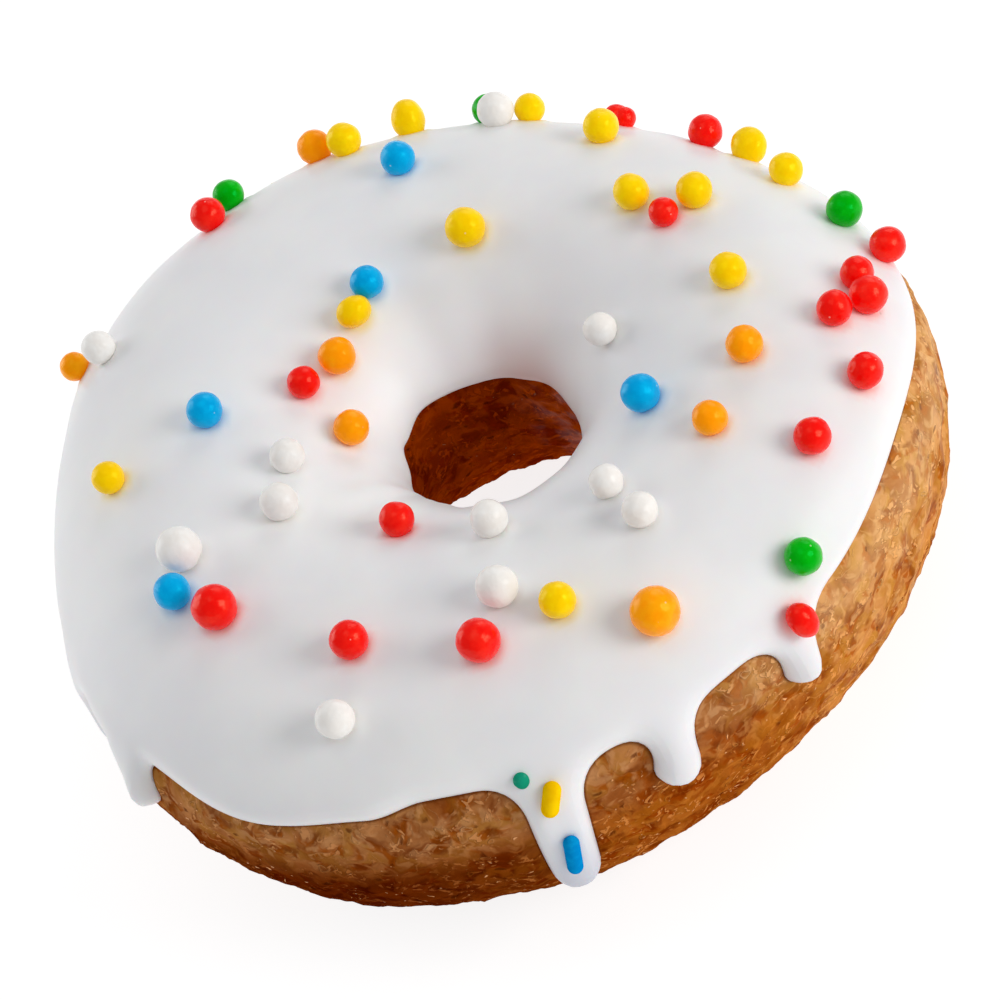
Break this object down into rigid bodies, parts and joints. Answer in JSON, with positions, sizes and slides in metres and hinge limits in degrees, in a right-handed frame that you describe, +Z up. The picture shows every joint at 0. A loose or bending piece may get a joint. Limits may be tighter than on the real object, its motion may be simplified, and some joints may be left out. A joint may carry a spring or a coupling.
{
  "type": "glazed mini doughnut",
  "caption": "Small ring doughnut with a thick coat of white icing that runs down in drips, on a golden fried ring with a flat underside and an open hole.",
  "frame": {"origin": "under the middle of the doughnut's box, on the surface that it rests on", "axes": "+Z up through the hole, -Y towards the side with the longest front drip"},
  "size_m": [0.06, 0.062, 0.023],
  "materials": {
    "dough": "fried dough, golden brown skin with a slight oily shine",
    "icing": "smooth set sugar icing, glossy white, with small coloured sugar pearls and strands"
  },
  "bodies": {
    "root": {"dough": "dough", "icing": "icing"}
  },
  "joints": []
}
